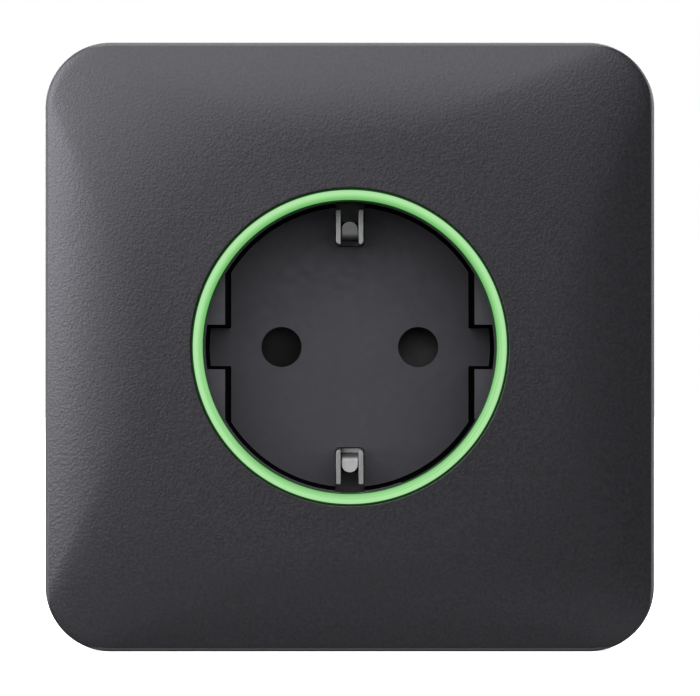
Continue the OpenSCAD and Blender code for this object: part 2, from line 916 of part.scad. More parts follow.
module earth_tongue() {
    tip_y = tongue_y + tongue_reach;
    color([0.86, 0.86, 0.85])
        to_wall() {
            intersection() {
                translate([-tongue_half, 0, 0])
                    rotate([90, 0, 90])
                        linear_extrude(2 * tongue_half)
                            tongue_section();
                union() {
                    block([-clip_w, 0, foot_z - 1], [clip_w, tip_y - tongue_half, cheek_top]);
                    translate([0, tip_y - tongue_half, 0])
                        rod(tongue_half, foot_z - 1, cheek_top);
                }
            }
            block([-clip_w / 2 + 0.2, tongue_y, foot_z - tongue_t], [clip_w / 2 - 0.2, foot_y, foot_z]);
        }
}

module earth_tongue_upper() {
    earth_tongue();
}

module earth_tongue_lower() {
    rotate([0, 180, 0])
        earth_tongue();
}

module power_board() {
    gap = 0.4;
    color([0.1, 0.3, 0.18])
        to_wall()
            difference() {
                rounded_block(module_in - 2 * gap, module_in - 2 * gap, module_in_corner_r - gap, board_back,
                    board_z);
                at_posts()
                    rod(screw_hole_r, board_back - 1, board_z + 1);
                for (x = [-1, 1])
                    translate([x * pin_x, 0, 0])
                        contact_tail(pass_gap, board_back - 1, board_z + 1);
                earth_tail(pass_gap, board_back - 1, board_z + 1);
                link_holes(board_back - 1, board_z + 1);
                at_terminals()
                    clamp_feet(0.15, board_back - 1, board_z + 1);
            }
}

module relay() {
    color([0.9, 0.9, 0.88])
        to_wall() {
            difference() {
                rounded_block_at([0, upper_y + 6.9], 19, 10.2, 0.8, board_z + 0.3, board_z + 12);
                translate([0, upper_y + 6.9, 0])
                    rounded_block(16.5, 7.7, 0.6, board_z + 11.7, board_z + 13);
            }
            for (x = [-8, -3, 8])
                translate([x, upper_y + 6.9, 0])
                    rod(0.6, board_z, board_z + 0.5);
        }
}

// Rounded block away from the axis
module rounded_block_at(place, w, h, r, low, high) {
    translate([place[0], place[1], 0])
        rounded_block(w, h, r, low, high);
}

module transformer() {
    y = lower_y - 5.4;
    color([0.86, 0.78, 0.3])
        to_wall() {
            rounded_block_at([0, y], 12, 10.6, 0.5, board_z, board_z + 1.6);
            rounded_block_at([0, y], 10.6, 5, 0.4, board_z + 1.5, board_z + 10.5);
            translate([0, y, 0])
                rod(4.9, board_z + 2.4, board_z + 9);
            rounded_block_at([0, y], 12, 8, 0.5, board_z + 8.9, board_z + 10.4);
        }
}

module film_capacitor() {
    color([0.85, 0.7, 0.15])
        to_wall()
            rounded_block_at([10.2, lower_y - 6], 5, 12, 0.7, board_z, board_z + 10.5);
}

module electrolytic_capacitors() {
    can_r = 3.1;
    color([0.12, 0.14, 0.2])
        to_wall()
            for (place = [[-16.2, lower_y - can_r], [-10.2, lower_y - 9.4]])
                translate([place[0], place[1], 0])
                    difference() {
                        rod(can_r, board_z, board_z + 11);
                        tube(can_r - 0.2, can_r + 1, board_z + 1.2, board_z + 1.8);
                        for (turn = [0, 90])
                            rotate(turn)
                                block([-can_r * 0.7, -0.1, board_z + 10.8], [can_r * 0.7, 0.1, board_z + 12]);
                    }
}

module varistor() {
    color([0.15, 0.3, 0.6])
        to_wall()
            translate([12.2, upper_y + 5.6, board_z + 5.4]) {
                rotate([0, 90, 0])
                    cylinder(r = 4.2, h = 3);
                for (y = [-2.5, 2.5])
                    translate([1.5, y, -5.4])
                        cylinder(r = 0.4, h = 3);
            }
}

module fuse() {
    color([0.9, 0.9, 0.9])
        to_wall()
            translate([-13.5, upper_y + 1.6, board_z + 2.4]) {
                rotate([-90, 0, 0])
                    cylinder(r = 1.7, h = 7);
                for (y = [1, 6])
                    translate([0, y, -2.4])
                        cylinder(r = 0.4, h = 1.2);
            }
}

module current_shunt() {
    x = box_x + 2.6;
    color([0.8, 0.5, 0.35])
        to_wall() {
            block([x - 1, -4, board_z + 1.6], [x + 1, 4, board_z + 2.4]);
            for (y = [-4, 3.2])
                block([x - 1, y, board_z], [x + 1, y + 0.8, board_z + 2.4]);
        }
}

module power_chips() {
    color([0.08, 0.08, 0.08])
        to_wall()
            for (chip = [[-8, 14, 6, 5], [3, 14, 5, 4], [11, 13, 4, 3], [-3, -14, 6, 5], [8, -13.5, 5, 4]])
                rounded_block_at([chip[0], chip[1]], chip[2], chip[3], 0.3, board_back - 1.4, board_back);
}

// Places of the three terminals, from left to right: live, earth, neutral
module at_terminals() {
    for (place = [-1, 0, 1])
        at_terminal(place)
            children();
}

module at_terminal(place) {
    translate([place * terminal_pitch, 0, 0])
        children();
}

module terminal_block() {
    roof = 7.2;
    color([0.82, 0.82, 0.8])
        to_wall() {
            difference() {
                block([-block_x, bar_y - 1, block_back], [block_x, roof + 1, block_z]);
                at_terminals() {
                    block([-cell_x, bar_y + bar_t, block_back - 1], [cell_x, roof, block_z - 0.6]);
                    block([-3.9, bar_y - seat_gap, block_back - 1], [3.9, bar_y + bar_t + 1, block_z - 0.6]);
                    clamp_feet(0.15, block_back, block_z + 1);
                }
            }
            at_terminals()
                translate([-cell_x - 0.5, lever_y, lever_z])
                    rotate([0, 90, 0])
                        cylinder(r = lever_pin_r, h = 2 * cell_x + 1);
        }
}

// Two feet of a wire clamp, or with a gap the holes that they pass through
module clamp_feet(gap, low, high) {
    for (x = [-2.5, 2.5])
        block([x - 0.6 - gap, bar_y - gap, low], [x + 0.6 + gap, bar_y + bar_t + gap, high]);
}

module wire_clamp(place) {
    color([0.86, 0.72, 0.42])
        to_wall()
            at_terminal(place) {
                block([-3.8, bar_y, block_back + 0.4], [3.8, bar_y + bar_t, block_z - 0.7]);
                clamp_feet(0, block_z - 0.8, board_z + 0.6);
            }
}

module live_clamp() {
    wire_clamp(-1);
}

module earth_clamp() {
    wire_clamp(0);
}

module neutral_clamp() {
    wire_clamp(1);
}

// Leaf that swings on its pin: at rest its edge nearly meets the clamp's bar
module clamp_spring(place) {
    leaf_x = cell_x - 0.3;
    slant = atan(lever_rise / lever_reach);
    reach = norm([lever_rise, lever_reach]);
    color([0.75, 0.76, 0.78])
        to_wall()
            at_terminal(place)
                translate([-leaf_x, lever_y, lever_z])
                    rotate([slant, 0, 0])
                        difference() {
                            union() {
                                rotate([0, 90, 0])
                                    cylinder(r = lever_pin_r + 0.55, h = 2 * leaf_x);
                                block([0, -reach, -lever_t / 2], [2 * leaf_x, 0, lever_t / 2]);
                            }
                            translate([-1, 0, 0])
                                rotate([0, 90, 0])
                                    cylinder(r = lever_pin_r + turn_gap, h = 2 * leaf_x + 2);
                        }
}

module live_clamp_spring() {
    clamp_spring(-1);
}

module earth_clamp_spring() {
    clamp_spring(0);
}

module neutral_clamp_spring() {
    clamp_spring(1);
}

// Release button: a square head in the cap's window, a collar that keeps it in, and a nose that pushes the leaf
module release_button(place) {
    nose_y = 0.8;
    nose_half = 0.3;
    leaf_drop = lever_rise * (lever_y - nose_y + nose_half) / lever_reach;
    leaf_back = lever_z - leaf_drop - 0.53 * lever_t;
    collar_h = 0.8;
    color([0.92, 0.5, 0.12])
        to_wall()
            at_terminal(place) {
                block([-button_w / 2, button_y - button_h / 2, cap_back - button_proud],
                    [button_w / 2, button_y + button_h / 2, cap_in + 0.3]);
                block([-button_w / 2 - 0.5, button_y - button_h / 2, cap_in + 0.2],
                    [button_w / 2 + 0.5, button_y + button_h / 2, cap_in + 0.2 + collar_h]);
                block([-1.5, nose_y - nose_half, cap_in], [1.5, nose_y + nose_half, leaf_back - seat_gap]);
            }
}

module live_button() {
    release_button(-1);
}

module earth_button() {
    release_button(0);
}

module neutral_button() {
    release_button(1);
}

cover_plate();
light_ring();
socket_well();
ring_board();
ring_lamps();
radio_module();
radio_shield();
antenna();
board_link();
support_frame();
frame_screws();
module_housing();
rear_cap();
housing_screws();
contact_carrier();
carrier_screws();
shutter();
shutter_spring();
live_contact();
neutral_contact();
earth_strap();
earth_tongue_upper();
earth_tongue_lower();
power_board();
relay();
transformer();
film_capacitor();
electrolytic_capacitors();
varistor();
fuse();
current_shunt();
power_chips();
terminal_block();
live_clamp();
earth_clamp();
neutral_clamp();
live_clamp_spring();
earth_clamp_spring();
neutral_clamp_spring();
live_button();
earth_button();
neutral_button();
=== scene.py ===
"""Looks of a flush in-wall smart socket outlet with a light ring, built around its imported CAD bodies."""

import json
import math

import bmesh
import bpy
from mathutils import Euler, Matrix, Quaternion, Vector

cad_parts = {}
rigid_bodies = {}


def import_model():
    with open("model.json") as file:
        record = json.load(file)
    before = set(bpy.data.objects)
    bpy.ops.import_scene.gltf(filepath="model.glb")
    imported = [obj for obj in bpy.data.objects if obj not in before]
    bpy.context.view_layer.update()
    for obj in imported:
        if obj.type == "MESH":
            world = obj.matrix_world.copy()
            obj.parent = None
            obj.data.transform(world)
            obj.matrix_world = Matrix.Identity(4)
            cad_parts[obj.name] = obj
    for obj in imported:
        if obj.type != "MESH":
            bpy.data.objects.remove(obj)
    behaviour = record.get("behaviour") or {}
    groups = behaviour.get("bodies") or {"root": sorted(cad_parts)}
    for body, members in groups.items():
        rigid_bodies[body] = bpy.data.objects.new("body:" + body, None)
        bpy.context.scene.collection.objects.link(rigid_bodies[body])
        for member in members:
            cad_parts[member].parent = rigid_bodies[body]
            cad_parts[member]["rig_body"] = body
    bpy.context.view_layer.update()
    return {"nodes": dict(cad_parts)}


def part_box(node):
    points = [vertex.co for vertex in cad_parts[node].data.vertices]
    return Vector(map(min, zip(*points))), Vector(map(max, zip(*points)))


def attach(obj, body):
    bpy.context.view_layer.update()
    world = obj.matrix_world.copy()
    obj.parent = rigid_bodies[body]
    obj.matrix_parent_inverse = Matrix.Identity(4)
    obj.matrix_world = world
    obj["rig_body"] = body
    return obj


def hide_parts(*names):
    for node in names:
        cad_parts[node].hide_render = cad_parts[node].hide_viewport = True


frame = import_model()
nodes = frame["nodes"]

MM = 0.001


# ---------------------------------------------------------------- material tools


def add(tree, kind, settings=None, **inputs):
    """Adds a shader node. An input given as a socket is linked, and one given as a value is set."""
    made = tree.nodes.new(kind)
    for key, value in (settings or {}).items():
        setattr(made, key, value)
    for key, value in inputs.items():
        socket = made.inputs[int(key[1:])] if key[0] == "i" and key[1:].isdigit() else made.inputs[key]
        if isinstance(value, bpy.types.NodeSocket):
            tree.links.new(value, socket)
        else:
            socket.default_value = value
    return made


def rgb(colour, factor=1.0):
    """A colour with an alpha, brightened or darkened by a factor."""
    return (*(min(1.0, part * factor) for part in colour), 1.0)


def noise(tree, place, size, detail=2.0, stretch=None):
    """A 0 to 1 noise whose features are about size metres wide, drawn out along an axis by stretch."""
    if stretch:
        place = add(tree, "ShaderNodeMapping", i0=place, i3=stretch).outputs[0]
    made = add(tree, "ShaderNodeTexNoise", Vector=place, Scale=1 / size, Detail=detail)
    return made.outputs[0]


def remap(tree, value, low, high, start=0.3, end=0.7):
    """The value's span from start to end, turned into low to high."""
    return add(tree, "ShaderNodeMapRange", i0=value, i1=start, i2=end, i3=low, i4=high).outputs[0]


def blend(tree, factor, first, second):
    """A colour between two colours."""
    made = add(tree, "ShaderNodeMix", {"data_type": "RGBA"})
    for index, value in ((0, factor), (6, first), (7, second)):
        if isinstance(value, bpy.types.NodeSocket):
            tree.links.new(value, made.inputs[index])
        else:
            made.inputs[index].default_value = value
    return made.outputs[2]


def start(name):
    """A new material, its tree, its shader and the part's own coordinates."""
    made = bpy.data.materials.new(name)
    made.use_nodes = True
    tree = made.node_tree
    place = tree.nodes.new("ShaderNodeTexCoord").outputs["Object"]
    return made, tree, tree.nodes["Principled BSDF"], place


def wire(tree, shader, **inputs):
    """Links or sets the shader's own inputs, named with underscores for spaces."""
    for key, value in inputs.items():
        socket = shader.inputs[key.replace("_", " ")]
        if isinstance(value, bpy.types.NodeSocket):
            tree.links.new(value, socket)
        else:
            socket.default_value = value


def relief(tree, place, grain, depth, stretch=None, edge=0.0):
    """A bumped normal: grain wide and depth deep, over edges softened by a small radius."""
    height = noise(tree, place, grain, stretch=stretch)
    made = add(tree, "ShaderNodeBump", Strength=1.0, Distance=depth, Height=height)
    if edge:
        soft = add(tree, "ShaderNodeBevel", {"samples": 4}, Radius=edge)
        tree.links.new(soft.outputs[0], made.inputs["Normal"])
    return made.outputs[0]


def plastic(
    name,
    colour,
    roughness,
    grain=0.25 * MM,
    depth=0.004 * MM,
    spread=0.12,
    edge=0.12 * MM,
    level=0.5,
    coat=0.0,
    uneven=0.04,
    tint=(1, 1, 1),
    patches=7 * MM,
):
    """Moulded plastic: an uneven colour in patches, an uneven gloss, and the mould's fine grain."""
    made, tree, shader, place = start(name)
    patch = noise(tree, place, patches)
    wire(
        tree,
        shader,
        Base_Color=blend(tree, remap(tree, patch, 0, 1), rgb(colour, 1 - spread), rgb(colour, 1 + spread)),
        Roughness=remap(tree, noise(tree, place, 1.1 * MM), roughness - uneven, roughness + uneven),
        Normal=relief(tree, place, grain, depth, edge=edge),
        Specular_IOR_Level=level,
        Specular_Tint=rgb(tint),
        Coat_Weight=coat,
        Coat_Roughness=0.1,
    )
    return made


METAL_EDGE = 0.08 * MM
TARNISH = 0.85  # how much of its brightness tarnished metal keeps


def metal(name, colour, roughness, along, grain=0.05 * MM, depth=0.0015 * MM):
    """Plated or rolled metal: brushed along one axis, with a faint tarnish."""
    made, tree, shader, place = start(name)
    stretch = {"x": (0.04, 1, 1), "y": (1, 0.04, 1), "z": (1, 1, 0.04)}[along]
    patch = noise(tree, place, 3 * MM, 3.0)
    wire(
        tree,
        shader,
        Base_Color=blend(tree, remap(tree, patch, 0, 1), rgb(colour, TARNISH), rgb(colour)),
        Metallic=1.0,
        Roughness=remap(tree, noise(tree, place, 0.2 * MM, 2.0, stretch), roughness - 0.06, roughness + 0.08),
        Normal=relief(tree, place, grain, depth, stretch=stretch, edge=METAL_EDGE),
    )
    return made


# ---------------------------------------------------------------- materials

COVER_GRAIN = 0.36 * MM
COOL = (0.93, 0.915, 1.0)  # the faint violet of the cover's sheen
COVER = plastic(
    "cover_anthracite",
    (0.0165, 0.0164, 0.0192),
    0.30,
    COVER_GRAIN,
    0.022 * MM,
    0.34,
    0,
    level=0.7,
    uneven=0.006,
    tint=COOL,
    patches=COVER_GRAIN,
)
# Painted highlight: a paler plastic for the front of the plate's rounded edge, standing in for the white room
# reflected in it.
RIM_PAINTED_HIGHLIGHT = plastic("cover_rim_painted_highlight", (0.07, 0.07, 0.076), 0.4, 0.35 * MM, 0.003 * MM, 0.05, 0, level=0.7)
FLOOR = plastic("recess_floor", (0.0235, 0.0233, 0.0285), 0.55, 0.22 * MM, 0.008 * MM, 0.06, tint=COOL)
# Painted shade: a near-black without gloss for the recess's walls and lip, darker than the floor, standing in for
# the shade on them.
WALL_PAINTED_SHADE = plastic("recess_wall", (0.0035, 0.0035, 0.0042), 0.5, 0.22 * MM, 0.003 * MM, 0.06, level=0.0)
HOUSING = plastic("housing_black", (0.030, 0.030, 0.032), 0.5, 0.45 * MM, 0.02 * MM)
CARRIER = plastic("carrier_black", (0.012, 0.012, 0.013), 0.45)
SHUTTER = plastic("shutter_black", (0.010, 0.010, 0.011), 0.6, level=0.2)
CHIP = plastic("chip_epoxy", (0.012, 0.012, 0.012), 0.55, 0.12 * MM, 0.004 * MM)
RELAY = plastic("relay_case", (0.62, 0.62, 0.58), 0.3, depth=0.002 * MM, spread=0.03)
BLOCK = plastic("terminal_grey", (0.38, 0.38, 0.36), 0.4, spread=0.04)
BUTTON = plastic("button_orange", (0.60, 0.12, 0.008), 0.32, spread=0.05)
FILM = plastic("film_capacitor", (0.62, 0.38, 0.03), 0.35, spread=0.06)
SLEEVE = plastic("capacitor_sleeve", (0.015, 0.02, 0.07), 0.25, depth=0.002 * MM)
VARISTOR = plastic("varistor_blue", (0.02, 0.08, 0.36), 0.25, 1.2 * MM, 0.03 * MM, coat=0.5)
FUSE = plastic("fuse_ceramic", (0.72, 0.70, 0.65), 0.3, spread=0.04)
TAPE = plastic("winding_tape", (0.72, 0.52, 0.05), 0.35, 0.8 * MM, 0.02 * MM)
LAMP = plastic("lamp_phosphor", (0.75, 0.70, 0.35), 0.25, spread=0.04)

ZINC = metal("zinc_frame", (0.62, 0.63, 0.66), 0.34, "x", 0.12 * MM, 0.003 * MM)
SCREW = metal("screw_zinc", (0.70, 0.70, 0.72), 0.26, "y")
NICKEL = metal("earth_nickel", (0.38, 0.38, 0.39), 0.42, "z")
TONGUE = metal("tongue_nickel", (0.36, 0.36, 0.36), 0.52, "z")
SPRING = metal("spring_steel", (0.56, 0.57, 0.60), 0.28, "z")
BRASS = metal("contact_brass", (0.80, 0.58, 0.26), 0.30, "y")
TIN = metal("shield_tin", (0.70, 0.71, 0.72), 0.28, "x")


TRACK_PITCH = 3.2 * MM


def board(name, mask, copper):
    """A circuit board: solder mask over tracks that stand slightly proud."""
    made, tree, shader, place = start(name)
    cells = {"feature": "DISTANCE_TO_EDGE", "distance": "MANHATTAN"}
    grid = add(tree, "ShaderNodeTexVoronoi", cells, Vector=place, Scale=1 / TRACK_PITCH)
    track = remap(tree, grid.outputs[0], 1, 0, 0.05, 0.08)
    patch = noise(tree, place, 9 * MM)
    ground = blend(tree, remap(tree, patch, 0, 1), rgb(mask, 0.85), rgb(mask, 1.15))
    wire(
        tree,
        shader,
        Base_Color=blend(tree, track, ground, rgb(copper)),
        Roughness=remap(tree, noise(tree, place, 1.5 * MM), 0.25, 0.36),
        Normal=add(tree, "ShaderNodeBump", Strength=1.0, Distance=0.03 * MM, Height=track).outputs[0],
    )
    return made


BOARD = board("board_green", (0.006, 0.055, 0.022), (0.02, 0.13, 0.05))
RADIO = board("board_blue", (0.004, 0.018, 0.06), (0.012, 0.05, 0.13))


def light_guide(name):
    """The frosted ring: a pale green glow, deeper on the slope at its inner edge and on its hidden skirt."""
    made, tree, shader, place = start(name)
    split = add(tree, "ShaderNodeSeparateXYZ", Vector=place).outputs
    flat = add(tree, "ShaderNodeCombineXYZ", X=split[0], Z=split[2]).outputs[0]
    radius = add(tree, "ShaderNodeVectorMath", {"operation": "LENGTH"}, i0=flat).outputs["Value"]
    ramp = add(tree, "ShaderNodeValToRGB", Fac=remap(tree, radius, 0, 1, 19.4 * MM, 21.4 * MM))
    stops = (
        (0.165, (0.003, 0.02, 0.004)),
        (0.185, (0.12, 0.44, 0.11)),
        (0.34, (0.22, 0.56, 0.18)),
        (0.48, (0.31, 0.66, 0.27)),
        (0.60, (0.39, 0.74, 0.345)),
        (0.80, (0.36, 0.70, 0.315)),
        (0.83, (0.004, 0.045, 0.004)),
    )
    band = ramp.color_ramp
    while len(band.elements) < len(stops):
        band.elements.new(0.5)
    for element, (where, colour) in zip(band.elements, stops):
        element.position = where
        element.color = rgb(colour)
    patch = remap(tree, noise(tree, place, 2 * MM), 0, 1)
    wire(
        tree,
        shader,
        Base_Color=blend(tree, patch, rgb((0.012, 0.03, 0.012)), rgb((0.016, 0.04, 0.014))),
        Roughness=remap(tree, noise(tree, place, 0.8 * MM), 0.30, 0.40),
        Normal=relief(tree, place, 0.2 * MM, 0.002 * MM),
        Emission_Color=ramp.outputs[0],
        Emission_Strength=1.0,
    )
    return made


GLOW = light_guide("light_guide")

FINISHES = {
    "cover_plate": COVER,
    "light_ring": GLOW,
    "socket_well": FLOOR,
    "ring_board": BOARD,
    "ring_lamps": LAMP,
    "radio_module": RADIO,
    "radio_shield": TIN,
    "antenna": FUSE,
    "board_link": CHIP,
    "support_frame": ZINC,
    "frame_screws": SCREW,
    "module_housing": HOUSING,
    "rear_cap": HOUSING,
    "housing_screws": SCREW,
    "contact_carrier": CARRIER,
    "carrier_screws": SCREW,
    "shutter": SHUTTER,
    "shutter_spring": SPRING,
    "live_contact": BRASS,
    "neutral_contact": BRASS,
    "earth_strap": NICKEL,
    "earth_tongue_upper": TONGUE,
    "earth_tongue_lower": TONGUE,
    "power_board": BOARD,
    "relay": RELAY,
    "transformer": TAPE,
    "film_capacitor": FILM,
    "electrolytic_capacitors": SLEEVE,
    "varistor": VARISTOR,
    "fuse": FUSE,
    "current_shunt": BRASS,
    "power_chips": CHIP,
    "terminal_block": BLOCK,
    "live_clamp": BRASS,
    "earth_clamp": BRASS,
    "neutral_clamp": BRASS,
    "live_clamp_spring": SPRING,
    "earth_clamp_spring": SPRING,
    "neutral_clamp_spring": SPRING,
    "live_button": BUTTON,
    "earth_button": BUTTON,
    "neutral_button": BUTTON,
}

for name, finish in FINISHES.items():
    mesh = nodes[name].data
    mesh.materials.clear()
    mesh.materials.append(finish)


# ---------------------------------------------------------------- mesh tools


def piece(name, mesh, replaced, materials=None):
    """A new piece that stands for one CAD node and rides on its body."""
    made = bpy.data.objects.new(name, mesh)
    bpy.context.scene.collection.objects.link(made)
    for finish in materials or [FINISHES[replaced]]:
        mesh.materials.append(finish)
    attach(made, nodes[replaced]["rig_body"])
    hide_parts(replaced)
    return made


def smooth(mesh, angle=30.0):
    """Smooth shading, broken only at edges sharper than the angle."""
    for face in mesh.polygons:
        face.use_smooth = True
    mesh.set_sharp_from_angle(angle=math.radians(angle))


ROUNDING_SEGMENTS = 2
ROUNDED_ABOVE = 32.0  # degrees between two faces, above which their edge is rounded
MERGE_DISTANCE = 0.002 * MM
FLAT_ANGLE = 0.4  # degrees between two faces that count as one


def softened(node, width):
    """The CAD body with its sharp edges rounded over by width, as moulding or deburring leaves them."""
    mesh = nodes[node].data.copy()
    mesh.materials.clear()
    work = bmesh.new()
    work.from_mesh(mesh)
    bmesh.ops.remove_doubles(work, verts=work.verts, dist=MERGE_DISTANCE)
    bmesh.ops.dissolve_limit(work, angle_limit=math.radians(FLAT_ANGLE), verts=work.verts, edges=work.edges)
    bmesh.ops.recalc_face_normals(work, faces=work.faces)
    work.to_mesh(mesh)
    work.free()
    for name in ("custom_normal", "sharp_edge", "sharp_face"):
        if name in mesh.attributes:
            mesh.attributes.remove(mesh.attributes[name])
    smooth(mesh)
    made = piece(node.replace("_", "-") + "-body", mesh, node)
    rounding = made.modifiers.new("rounding", "BEVEL")
    rounding.width = width
    rounding.segments = ROUNDING_SEGMENTS
    rounding.limit_method = "ANGLE"
    rounding.angle_limit = math.radians(ROUNDED_ABOVE)
    rounding.miter_outer = "MITER_ARC"
    made.modifiers.new("even_shading", "WEIGHTED_NORMAL").keep_sharp = True
    graph = bpy.context.evaluated_depsgraph_get()
    final = bpy.data.meshes.new_from_object(made.evaluated_get(graph), depsgraph=graph)
    made.modifiers.clear()
    made.data = final
    return made


def rounded_contour(half_x, half_z, corner, y, corner_steps=24, side_steps=12):
    """Points of a rounded rectangle at depth y, run anticlockwise as seen from the front."""
    points = []
    for quarter in range(4):
        sign_x = 1 if quarter in (0, 3) else -1
        sign_z = 1 if quarter in (0, 1) else -1
        middle = Vector((sign_x * (half_x - corner), y, sign_z * (half_z - corner)))
        for step in range(corner_steps + 1):
            turn = math.radians(90) * (quarter + step / corner_steps)
            points.append(middle + corner * Vector((math.cos(turn), 0, math.sin(turn))))
        next_x = sign_x if quarter in (1, 3) else -sign_x
        next_z = sign_z if quarter in (0, 2) else -sign_z
        turn = math.radians(90) * (quarter + 1)
        arrival = Vector((next_x * (half_x - corner), y, next_z * (half_z - corner)))
        arrival += corner * Vector((math.cos(turn), 0, math.sin(turn)))
        leaving = points[-1]
        for step in range(1, side_steps):
            points.append(leaving.lerp(arrival, step / side_steps))
    return points


def round_contour(radius, y, like):
    """Points of a circle at depth y, in the directions of another contour's points."""
    return [Vector((p.x, 0, p.z)).normalized() * radius + Vector((0, y, 0)) for p in like]


def loft(contours, closed=False):
    """A skin over contours of equally many points. A closed one joins the last to the first."""
    count = len(contours[0])
    points = [p for contour in contours for p in contour]
    faces = []
    for row in range(len(contours) - (0 if closed else 1)):
        after = (row + 1) % len(contours)
        for k in range(count):
            n = (k + 1) % count
            faces.append((row * count + k, row * count + n, after * count + n, after * count + k))
    return points, faces


def solid(name, points, faces):
    """A mesh from points and faces, with its normals outwards."""
    mesh = bpy.data.meshes.new(name)
    mesh.from_pydata([tuple(p) for p in points], [], faces)
    work = bmesh.new()
    work.from_mesh(mesh)
    bmesh.ops.recalc_face_normals(work, faces=work.faces)
    work.to_mesh(mesh)
    work.free()
    return mesh


# ---------------------------------------------------------------- cover plate

PLATE_CORNER = 8.8 * MM
PLATE_WALL = 2.0 * MM
EDGE_DROP = 1.3 * MM  # from the flat middle to the start of the edge's round
EDGE_ROUND = 0.6 * MM
ROLL_WIDTH = 14.0 * MM  # over which the face rolls off to the edge
ROLL_POWER = 2.3
ROLL_CORNER = 25.0 * MM  # corner radius of the roll's inner border
OPENING_RADIUS = 21.35 * MM
OPENING_ROUND = 0.07 * MM
RIM_ROUND = 0.2 * MM
RIM_HIGHLIGHT_SLOPE = 0.25  # a face at the edge turned more than this to the front takes the rim's painted highlight


def cover_plate():
    """The pillowed plate: a flat middle that rolls off, widest at the corners, to a finely rounded edge."""
    low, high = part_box("cover_plate")
    half_x, half_z = high.x, high.z
    front, back = low.y, high.y
    inside = front + PLATE_WALL
    contours = []

    def outline(inset, y, corner=None):
        corner = PLATE_CORNER - inset if corner is None else corner
        contours.append(rounded_contour(half_x - inset, half_z - inset, corner, y))

    outline(RIM_ROUND, back)
    outline(0, back - RIM_ROUND)
    side_top = front + EDGE_DROP + EDGE_ROUND
    outline(0, side_top)
    edge_slope = math.atan(ROLL_POWER * EDGE_DROP / ROLL_WIDTH)
    arc_steps = 7
    for step in range(1, arc_steps + 1):
        turn = (math.radians(90) - edge_slope) * step / arc_steps
        outline(EDGE_ROUND * (1 - math.cos(turn)), side_top - EDGE_ROUND * math.sin(turn))
    start_inset = EDGE_ROUND * (1 - math.sin(edge_slope))
    start_drop = side_top - EDGE_ROUND * math.cos(edge_slope) - front
    roll_steps = 26
    for step in range(1, roll_steps + 1):
        share = step / roll_steps
        inset = start_inset + (ROLL_WIDTH - start_inset) * share
        corner = PLATE_CORNER - start_inset + (ROLL_CORNER - PLATE_CORNER) * share
        outline(inset, front + start_drop * (1 - share) ** ROLL_POWER, corner)
    like = contours[-1]
    contours.append(round_contour(OPENING_RADIUS + 3 * OPENING_ROUND, front, like))
    arc_steps = 3
    for step in range(arc_steps + 1):
        turn = math.radians(90) * step / arc_steps
        radius = OPENING_RADIUS + OPENING_ROUND * (1 - math.sin(turn))
        contours.append(round_contour(radius, front + OPENING_ROUND * (1 - math.cos(turn)), like))
    contours.append(round_contour(OPENING_RADIUS, inside, like))
    outline(PLATE_WALL, inside)
    outline(PLATE_WALL, back - RIM_ROUND)
    outline(PLATE_WALL - RIM_ROUND, back)
    points, faces = loft(contours, closed=True)
    for turn in range(4):
        snap_leg(points, faces, turn)
    return points, faces


def snap_leg(points, faces, turn):
    """Adds one of the four legs that hook behind the tabs of the support frame."""
    frame_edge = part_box("support_frame")[1].x
    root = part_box("cover_plate")[0].y + PLATE_WALL - 0.1 * MM
    inner, outer, hook = 0.3 * MM, 1.9 * MM, -0.6 * MM
    section = [(outer, -2.0 * MM), (outer, root), (inner, root), (inner, -3.7 * MM), (hook, -3.7 * MM)]
    section += [(hook, -3.3 * MM), (inner, -2.1 * MM), (inner, -2.0 * MM)]
    first = len(points)
    count = len(section)
    for along in (-4.0 * MM, 4.0 * MM):
        for out, depth in section:
            spot = Vector((frame_edge + out, depth, along))
            spot.rotate(Euler((0, math.radians(90 * turn), 0)))
            points.append(spot)
    faces.append(tuple(range(first, first + count)))
    faces.append(tuple(range(first + 2 * count - 1, first + count - 1, -1)))
    for k in range(count):
        n = (k + 1) % count
        faces.append((first + k, first + n, first + count + n, first + count + k))


points, faces = cover_plate()
plate = piece("cover-plate-face", solid("cover-plate-face", points, faces), "cover_plate", [COVER, RIM_PAINTED_HIGHLIGHT])
smooth(plate.data)
plate_low, plate_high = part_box("cover_plate")
# Faces of the edge's round that turn to the front take the paler rim plastic: a painted highlight for the white
# room reflected in the edge.
for face in plate.data.polygons:
    spot = face.center
    near_edge = max(abs(spot.x) - plate_high.x, abs(spot.z) - plate_high.z) > -EDGE_ROUND
    if near_edge and abs(face.normal.y) > RIM_HIGHLIGHT_SLOPE and spot.y < plate_low.y / 2:
        face.material_index = 1

for node, width in (
    ("light_ring", 0.08 * MM),
    ("socket_well", 0.10 * MM),
    ("support_frame", 0.10 * MM),
    ("module_housing", 0.25 * MM),
    ("rear_cap", 0.20 * MM),
    ("earth_strap", 0.08 * MM),
    ("earth_tongue_upper", 0.06 * MM),
    ("earth_tongue_lower", 0.06 * MM),
):
    softened(node, width)

